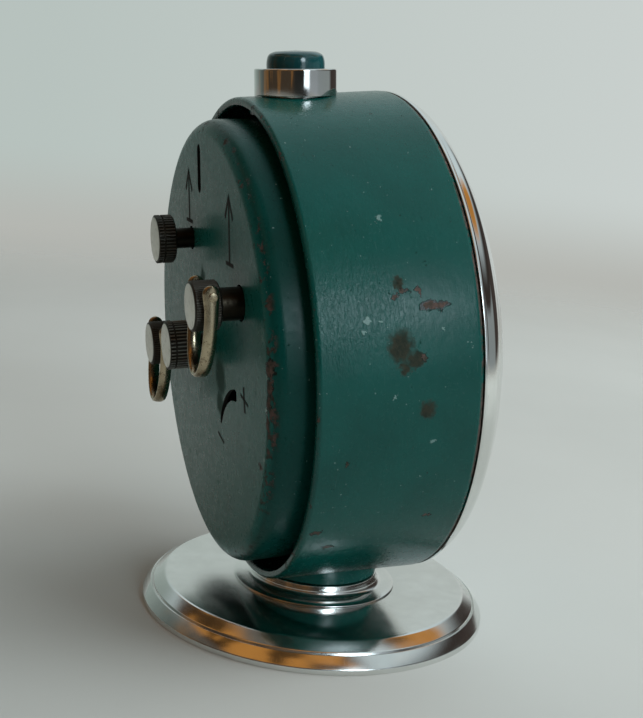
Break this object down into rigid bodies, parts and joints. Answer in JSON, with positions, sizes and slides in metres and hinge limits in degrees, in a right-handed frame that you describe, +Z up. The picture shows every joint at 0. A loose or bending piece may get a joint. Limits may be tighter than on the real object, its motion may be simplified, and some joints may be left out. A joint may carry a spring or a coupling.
{
  "type": "wind-up alarm clock",
  "caption": "Round painted drum alarm clock tipped back on a chrome pedestal, with a domed crystal, a top button, winding keys with folding bails and setting knobs at the rear.",
  "frame": {"origin": "centre of the pedestal's foot, on the table", "axes": "+Z up along the pedestal's axis, -Y the way the dial faces, +X to the right of someone reading the dial"},
  "size_m": [0.09, 0.0688, 0.1055],
  "materials": {
    "case_enamel": "glossy dark teal enamel, chipped to brown primer, fine scratches",
    "cover_enamel": "glossy teal enamel, brown chips round the shoulder",
    "bright_chrome": "mirror chrome, slightly worn",
    "ring_steel": "satin steel",
    "clear_acrylic": "clear domed acrylic",
    "teal_plastic": "glossy moulded plastic",
    "aged_nickel": "worn nickel plate on brass, grime in the knurling",
    "dial_paint": "matt cream dial with black markers",
    "hand_paint": "black paint",
    "alarm_hand_paint": "red paint",
    "foot_felt": "pressed felt",
    "movement_brass": "stamped brass",
    "blued_steel": "blued spring steel",
    "movement_steel": "plain turned steel"
  },
  "bodies": {
    "clock_case": {"base_disc": "bright_chrome", "foot_pad": "foot_felt", "pedestal_neck": "bright_chrome", "case_boss": "case_enamel", "pedestal_screw": "movement_steel", "pedestal_nut": "movement_steel", "case_drum": "case_enamel", "rear_cover": "cover_enamel", "front_bezel": "bright_chrome", "crystal": "clear_acrylic", "crystal_ring": "ring_steel", "dial": "dial_paint", "button_collar": "bright_chrome", "collar_nut": "movement_steel", "button_spring": "movement_steel", "front_plate": "movement_brass", "back_plate": "movement_brass", "pillar_1": "movement_brass", "pillar_2": "movement_brass", "pillar_3": "movement_brass", "pillar_4": "movement_brass", "pillar_nut_1": "movement_steel", "pillar_nut_2": "movement_steel", "pillar_nut_3": "movement_steel", "pillar_nut_4": "movement_steel", "time_mainspring": "blued_steel", "alarm_mainspring": "blued_steel", "hairspring": "blued_steel"},
    "button": {"top_button": "teal_plastic"},
    "stop_lever": {"alarm_stop_lever": "movement_steel"},
    "time_winder": {"time_key": "aged_nickel", "time_arbor": "movement_steel"},
    "time_bail": {"time_bail": "aged_nickel"},
    "alarm_winder": {"alarm_key": "aged_nickel", "alarm_arbor": "movement_steel"},
    "alarm_bail": {"alarm_bail": "aged_nickel"},
    "minute_drive": {"set_knob": "aged_nickel", "centre_arbor": "movement_steel", "cannon_pinion": "movement_brass", "minute_hand": "hand_paint"},
    "hour_drive": {"hour_wheel": "movement_brass", "hour_hand": "hand_paint"},
    "minute_idler": {"minute_wheel": "movement_brass"},
    "alarm_setter": {"alarm_set_knob": "aged_nickel", "alarm_set_arbor": "movement_steel"},
    "alarm_disc": {"alarm_wheel": "movement_brass", "alarm_hand": "alarm_hand_paint"},
    "time_great": {"time_great_wheel": "movement_brass"},
    "intermediate": {"intermediate_wheel": "movement_brass"},
    "centre": {"centre_wheel": "movement_brass"},
    "third": {"third_wheel": "movement_brass"},
    "fourth": {"fourth_wheel": "movement_brass"},
    "escape": {"escape_wheel": "movement_brass"},
    "pallet": {"pallet_lever": "movement_steel"},
    "balance": {"balance_wheel": "movement_brass"},
    "regulator": {"regulator_lever": "movement_steel"},
    "alarm_great": {"alarm_great_wheel": "movement_brass"},
    "alarm_escape": {"alarm_escape_wheel": "movement_brass"},
    "hammer": {"alarm_hammer": "movement_steel"}
  },
  "joints": [
    {"name": "button_press", "type": "slide", "parent": "clock_case", "child": "button", "axis": [0, -0.0993, -0.9951], "range_m": [0, 0.0018], "stiffness_N_per_m": 250, "springref_m": -0.002, "deforming": ["button_spring"]},
    {"name": "stop_lever_rock", "type": "hinge", "parent": "clock_case", "child": "stop_lever", "pos_m": [0.012, 0.02228, 0.08504], "axis": [0, 0.9951, -0.0993], "range_deg": [-9, 0]},
    {"name": "time_wind", "type": "hinge", "parent": "clock_case", "child": "time_winder", "pos_m": [-0.0225, 0.02014, 0.06364], "axis": [0, 0.9951, -0.0993], "continuous": true},
    {"name": "time_bail_swing", "type": "hinge", "parent": "time_winder", "child": "time_bail", "pos_m": [-0.0225, 0.03246, 0.06473], "axis": [1, 0, 0], "range_deg": [-22, 175]},
    {"name": "alarm_wind", "type": "hinge", "parent": "clock_case", "child": "alarm_winder", "pos_m": [0.0185, 0.01864, 0.04862], "axis": [0, 0.9951, -0.0993], "continuous": true},
    {"name": "alarm_bail_swing", "type": "hinge", "parent": "alarm_winder", "child": "alarm_bail", "pos_m": [0.0185, 0.02977, 0.04982], "axis": [1, 0, 0], "range_deg": [-17, 175]},
    {"name": "time_set", "type": "hinge", "parent": "clock_case", "child": "minute_drive", "pos_m": [0, 0.019, 0.0522], "axis": [0, 0.9951, -0.0993], "continuous": true},
    {"name": "hour_turn", "type": "hinge", "parent": "clock_case", "child": "hour_drive", "pos_m": [0, 0.019, 0.0522], "axis": [0, 0.9951, -0.0993], "continuous": true},
    {"name": "minute_idler_turn", "type": "hinge", "parent": "clock_case", "child": "minute_idler", "pos_m": [0.0061, 0.01961, 0.05827], "axis": [0, 0.9951, -0.0993], "continuous": true},
    {"name": "alarm_set", "type": "hinge", "parent": "clock_case", "child": "alarm_setter", "pos_m": [0.011, 0.02078, 0.07001], "axis": [0, 0.9951, -0.0993], "continuous": true},
    {"name": "alarm_disc_turn", "type": "hinge", "parent": "clock_case", "child": "alarm_disc", "pos_m": [0, 0.019, 0.0522], "axis": [0, 0.9951, -0.0993], "continuous": true},
    {"name": "fourth_turn", "type": "hinge", "parent": "clock_case", "child": "fourth", "pos_m": [0.005, 0.01721, 0.03429], "axis": [0, 0.9951, -0.0993], "continuous": true},
    {"name": "time_great_turn", "type": "hinge", "parent": "clock_case", "child": "time_great", "pos_m": [-0.0225, 0.02014, 0.06364], "axis": [0, 0.9951, -0.0993], "continuous": true},
    {"name": "intermediate_turn", "type": "hinge", "parent": "clock_case", "child": "intermediate", "pos_m": [-0.011, 0.0189, 0.05121], "axis": [0, 0.9951, -0.0993], "continuous": true},
    {"name": "centre_turn", "type": "hinge", "parent": "clock_case", "child": "centre", "pos_m": [0, 0.019, 0.0522], "axis": [0, 0.9951, -0.0993], "continuous": true},
    {"name": "third_turn", "type": "hinge", "parent": "clock_case", "child": "third", "pos_m": [-0.003, 0.01787, 0.04086], "axis": [0, 0.9951, -0.0993], "continuous": true},
    {"name": "escape_turn", "type": "hinge", "parent": "clock_case", "child": "escape", "pos_m": [-0.0025, 0.01678, 0.02991], "axis": [0, 0.9951, -0.0993], "continuous": true},
    {"name": "pallet_rock", "type": "hinge", "parent": "clock_case", "child": "pallet", "pos_m": [-0.0089, 0.01693, 0.0315], "axis": [0, 0.9951, -0.0993], "range_deg": [-5, 5]},
    {"name": "balance_swing", "type": "hinge", "parent": "clock_case", "child": "balance", "pos_m": [-0.02, 0.01721, 0.03429], "axis": [0, 0.9951, -0.0993], "range_deg": [-140, 140], "stiffness_Nm_per_rad": 0.000012},
    {"name": "regulate", "type": "hinge", "parent": "clock_case", "child": "regulator", "pos_m": [-0.02, 0.01721, 0.03429], "axis": [0, 0.9951, -0.0993], "range_deg": [-20, 22]},
    {"name": "alarm_escape_turn", "type": "hinge", "parent": "clock_case", "child": "alarm_escape", "pos_m": [0.0275, 0.01933, 0.05548], "axis": [0, 0.9951, -0.0993], "continuous": true},
    {"name": "alarm_great_turn", "type": "hinge", "parent": "clock_case", "child": "alarm_great", "pos_m": [0.0185, 0.01864, 0.04862], "axis": [0, 0.9951, -0.0993], "continuous": true},
    {"name": "hammer_strike", "type": "hinge", "parent": "clock_case", "child": "hammer", "pos_m": [0.0305, 0.02014, 0.06364], "axis": [0, 0.9951, -0.0993], "range_deg": [-7, 4]}
  ],
  "couplings": [
    {"joint": "stop_lever_rock", "follows": "button_press", "rad_per_m": -80},
    {"joint": "hour_turn", "follows": "time_set", "ratio": 0.083333},
    {"joint": "minute_idler_turn", "follows": "time_set", "ratio": -0.33333},
    {"joint": "alarm_disc_turn", "follows": "alarm_set", "ratio": -0.25},
    {"joint": "third_turn", "follows": "fourth_turn", "ratio": -0.25},
    {"joint": "centre_turn", "follows": "fourth_turn", "ratio": 0.052632},
    {"joint": "intermediate_turn", "follows": "fourth_turn", "ratio": -0.017544},
    {"joint": "time_great_turn", "follows": "fourth_turn", "ratio": 0.005013},
    {"joint": "escape_turn", "follows": "fourth_turn", "ratio": -4.25},
    {"joint": "alarm_great_turn", "follows": "alarm_escape_turn", "ratio": -0.22222}
  ]
}
